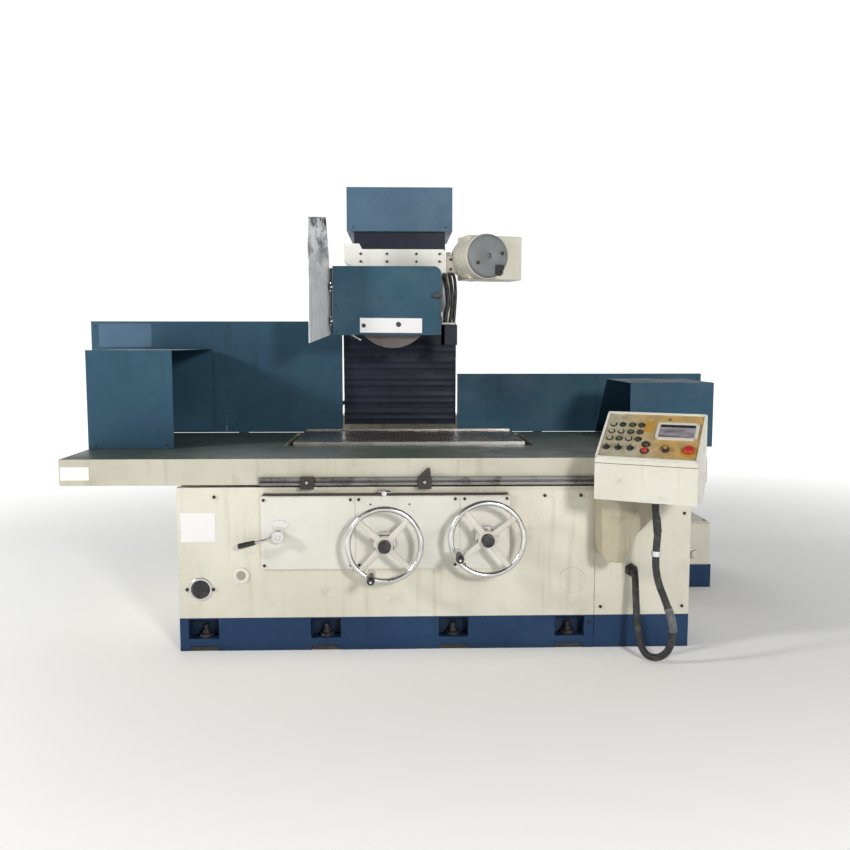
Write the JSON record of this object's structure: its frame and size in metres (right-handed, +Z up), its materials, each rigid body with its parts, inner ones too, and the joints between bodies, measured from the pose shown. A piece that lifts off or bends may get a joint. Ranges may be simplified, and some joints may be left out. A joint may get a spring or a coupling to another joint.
{
  "type": "surface grinder",
  "caption": "Travelling-column surface grinder: long reciprocating table with magnetic chuck, guarded wheel on a vertical head, splash guards, handwheels and a tilted control pendant.",
  "frame": {"origin": "on the floor, centre of the footprint", "axes": "+Z up, +X along the table to the operator's right, -Y towards the operator"},
  "size_m": [3.1, 2.48, 1.98],
  "materials": {
    "cream_paint": "satin",
    "blue_paint": "satin",
    "navy_paint": "satin",
    "bright_steel": "satin",
    "cast_iron": "matte",
    "black_steel": "satin",
    "black_rubber": "matte",
    "red_plastic": "gloss",
    "black_plastic": "gloss",
    "abrasive": "matte"
  },
  "bodies": {
    "bed": {"bed_casting": "cream_paint", "rear_bed": "cream_paint", "side_cabinet": "cream_paint", "front_covers": "cream_paint", "hydraulic_tank": "cream_paint", "pump_motor": "cast_iron", "table_cylinder": "cast_iron", "pendant_arm": "cream_paint", "rear_guard_left_outer": "blue_paint", "rear_guard_left_inner": "blue_paint", "rear_guard_right_inner": "blue_paint", "rear_guard_right_outer": "blue_paint", "guard_frame_left": "blue_paint", "guard_frame_right": "blue_paint", "pendant_box": "cream_paint", "conduit": "black_rubber", "conduit_gland": "black_steel"},
    "table": {"work_table": "cast_iron", "table_tray": "cream_paint", "magnetic_chuck": "bright_steel", "end_guard_left": "blue_paint", "end_guard_right": "blue_paint", "piston_rod": "bright_steel", "dog_rail": "bright_steel"},
    "trip_dog_left": {"trip_dog_left": "black_steel"},
    "trip_dog_right": {"trip_dog_right": "black_steel"},
    "column": {"column_saddle": "cream_paint", "column_casting": "cream_paint", "column_hood": "blue_paint", "column_bellows": "navy_paint", "way_cover_fixed": "navy_paint"},
    "elevating_screw": {"elevating_screw": "bright_steel"},
    "cross_screw": {"cross_screw": "bright_steel"},
    "head": {"wheelhead": "cream_paint", "wheel_guard": "blue_paint", "coolant_nozzle": "bright_steel", "elevating_motor": "cream_paint"},
    "spindle": {"spindle": "bright_steel", "grinding_wheel": "abrasive"},
    "guard_cover": {"guard_cover": "blue_paint"},
    "cover_latch": {"cover_latch": "black_steel"},
    "spark_flap": {"spark_flap": "bright_steel"},
    "handwheel_cross": {"handwheel_cross": "bright_steel"},
    "handle_cross": {"handle_cross": "black_plastic"},
    "handwheel_elevating": {"handwheel_elevating": "bright_steel"},
    "handle_elevating": {"handle_elevating": "black_plastic"},
    "table_lever": {"table_lever": "bright_steel"},
    "reversing_lever": {"reversing_lever": "bright_steel"},
    "estop_button": {"estop_button": "red_plastic"},
    "feed_knob": {"feed_knob": "black_plastic"},
    "stop_button": {"stop_button": "red_plastic"},
    "start_button": {"start_button": "black_plastic"},
    "selector_1": {"selector_1": "black_plastic"},
    "selector_2": {"selector_2": "black_plastic"},
    "selector_3": {"selector_3": "black_plastic"},
    "way_cover_1": {"way_cover_1": "navy_paint"},
    "way_cover_2": {"way_cover_2": "navy_paint"},
    "way_cover_3": {"way_cover_3": "navy_paint"},
    "way_cover_4": {"way_cover_4": "navy_paint"},
    "way_cover_5": {"way_cover_5": "navy_paint"}
  },
  "joints": [
    {"name": "table_slide", "type": "slide", "parent": "bed", "child": "table", "axis": [1, 0, 0], "range_m": [-0.48, 0.48]},
    {"name": "dog_left_slide", "type": "slide", "parent": "table", "child": "trip_dog_left", "axis": [1, 0, 0], "range_m": [-0.15, 0.15]},
    {"name": "dog_right_slide", "type": "slide", "parent": "table", "child": "trip_dog_right", "axis": [1, 0, 0], "range_m": [-0.15, 0.3]},
    {"name": "column_slide", "type": "slide", "parent": "bed", "child": "column", "axis": [0, -1, 0], "range_m": [-0.1, 0.425]},
    {"name": "cross_screw_turn", "type": "hinge", "parent": "bed", "child": "cross_screw", "pos_m": [0, 0.7, 0.405], "axis": [0, -1, 0], "continuous": true},
    {"name": "cross_handwheel_turn", "type": "hinge", "parent": "bed", "child": "handwheel_cross", "pos_m": [-0.06, -0.95, 0.439], "axis": [0, -1, 0], "continuous": true},
    {"name": "cross_handle_spin", "type": "hinge", "parent": "handwheel_cross", "child": "handle_cross", "pos_m": [-0.10962, -0.95, 0.32755], "axis": [0, -1, 0], "continuous": true},
    {"name": "head_slide", "type": "slide", "parent": "column", "child": "head", "axis": [0, 0, -1], "range_m": [-0.05, 0.395]},
    {"name": "elevating_screw_turn", "type": "hinge", "parent": "column", "child": "elevating_screw", "pos_m": [0, 0.384, 1.2], "axis": [0, 0, 1], "continuous": true},
    {"name": "elevating_handwheel_turn", "type": "hinge", "parent": "bed", "child": "handwheel_elevating", "pos_m": [0.328, -0.95, 0.46], "axis": [0, -1, 0], "continuous": true},
    {"name": "elevating_handle_spin", "type": "hinge", "parent": "handwheel_elevating", "child": "handle_elevating", "pos_m": [0.21835, -0.95, 0.40652], "axis": [0, -1, 0], "continuous": true},
    {"name": "way_cover_1_slide", "type": "slide", "parent": "column", "child": "way_cover_1", "axis": [0, 0, -1], "range_m": [-0.0105, 0.0795]},
    {"name": "way_cover_2_slide", "type": "slide", "parent": "column", "child": "way_cover_2", "axis": [0, 0, -1], "range_m": [-0.0205, 0.1585]},
    {"name": "way_cover_3_slide", "type": "slide", "parent": "column", "child": "way_cover_3", "axis": [0, 0, -1], "range_m": [-0.0305, 0.2375]},
    {"name": "way_cover_4_slide", "type": "slide", "parent": "column", "child": "way_cover_4", "axis": [0, 0, -1], "range_m": [-0.0405, 0.3165]},
    {"name": "way_cover_5_slide", "type": "slide", "parent": "column", "child": "way_cover_5", "axis": [0, 0, -1], "range_m": [-0.0505, 0.3955]},
    {"name": "spindle_spin", "type": "hinge", "parent": "head", "child": "spindle", "pos_m": [-0.034, -0.05, 1.35], "axis": [0, 1, 0], "continuous": true},
    {"name": "guard_cover_swing", "type": "hinge", "parent": "head", "child": "guard_cover", "pos_m": [-0.316, -0.15, 1.4], "axis": [0, 0, -1], "range_deg": [0, 85]},
    {"name": "cover_latch_turn", "type": "hinge", "parent": "guard_cover", "child": "cover_latch", "pos_m": [0.172, -0.16, 1.411], "axis": [0, -1, 0], "range_deg": [0, 90]},
    {"name": "spark_flap_swing", "type": "hinge", "parent": "head", "child": "spark_flap", "pos_m": [-0.321, -0.12, 1.4], "axis": [0, 0, -1], "range_deg": [-15, 12]},
    {"name": "table_lever_swing", "type": "hinge", "parent": "bed", "child": "table_lever", "pos_m": [-0.468, -0.882, 0.458], "axis": [0, 1, 0], "range_deg": [-35, 35]},
    {"name": "reversing_lever_swing", "type": "hinge", "parent": "bed", "child": "reversing_lever", "pos_m": [-0.062, -0.87, 0.622], "axis": [0, 1, 0], "range_deg": [-4, 12]},
    {"name": "estop_press", "type": "slide", "parent": "bed", "child": "estop_button", "axis": [0.2681, 0.5261, -0.807], "range_m": [0, 0.004], "stiffness_N_per_m": 900},
    {"name": "stop_press", "type": "slide", "parent": "bed", "child": "stop_button", "axis": [0.2681, 0.5261, -0.807], "range_m": [0, 0.004], "stiffness_N_per_m": 600},
    {"name": "start_press", "type": "slide", "parent": "bed", "child": "start_button", "axis": [0.2681, 0.5261, -0.807], "range_m": [0, 0.004], "stiffness_N_per_m": 600},
    {"name": "feed_knob_turn", "type": "hinge", "parent": "bed", "child": "feed_knob", "pos_m": [0.93525, -1.14574, 0.81807], "axis": [-0.2681, -0.5261, 0.807], "range_deg": [-135, 135]},
    {"name": "selector_1_turn", "type": "hinge", "parent": "bed", "child": "selector_1", "pos_m": [0.74814, -1.05041, 0.81807], "axis": [-0.2681, -0.5261, 0.807], "range_deg": [-45, 45]},
    {"name": "selector_2_turn", "type": "hinge", "parent": "bed", "child": "selector_2", "pos_m": [0.78645, -1.06993, 0.81807], "axis": [-0.2681, -0.5261, 0.807], "range_deg": [-45, 45]},
    {"name": "selector_3_turn", "type": "hinge", "parent": "bed", "child": "selector_3", "pos_m": [0.82477, -1.08945, 0.81807], "axis": [-0.2681, -0.5261, 0.807], "range_deg": [-45, 45]}
  ],
  "couplings": [
    {"joint": "cross_screw_turn", "follows": "column_slide", "rad_per_m": 628.32},
    {"joint": "cross_handwheel_turn", "follows": "column_slide", "rad_per_m": 628.32},
    {"joint": "elevating_screw_turn", "follows": "head_slide", "rad_per_m": 628.32},
    {"joint": "elevating_handwheel_turn", "follows": "head_slide", "rad_per_m": 628.32},
    {"joint": "way_cover_1_slide", "follows": "head_slide", "ratio": 0.2},
    {"joint": "way_cover_2_slide", "follows": "head_slide", "ratio": 0.4},
    {"joint": "way_cover_3_slide", "follows": "head_slide", "ratio": 0.6},
    {"joint": "way_cover_4_slide", "follows": "head_slide", "ratio": 0.8},
    {"joint": "way_cover_5_slide", "follows": "head_slide", "ratio": 1}
  ]
}
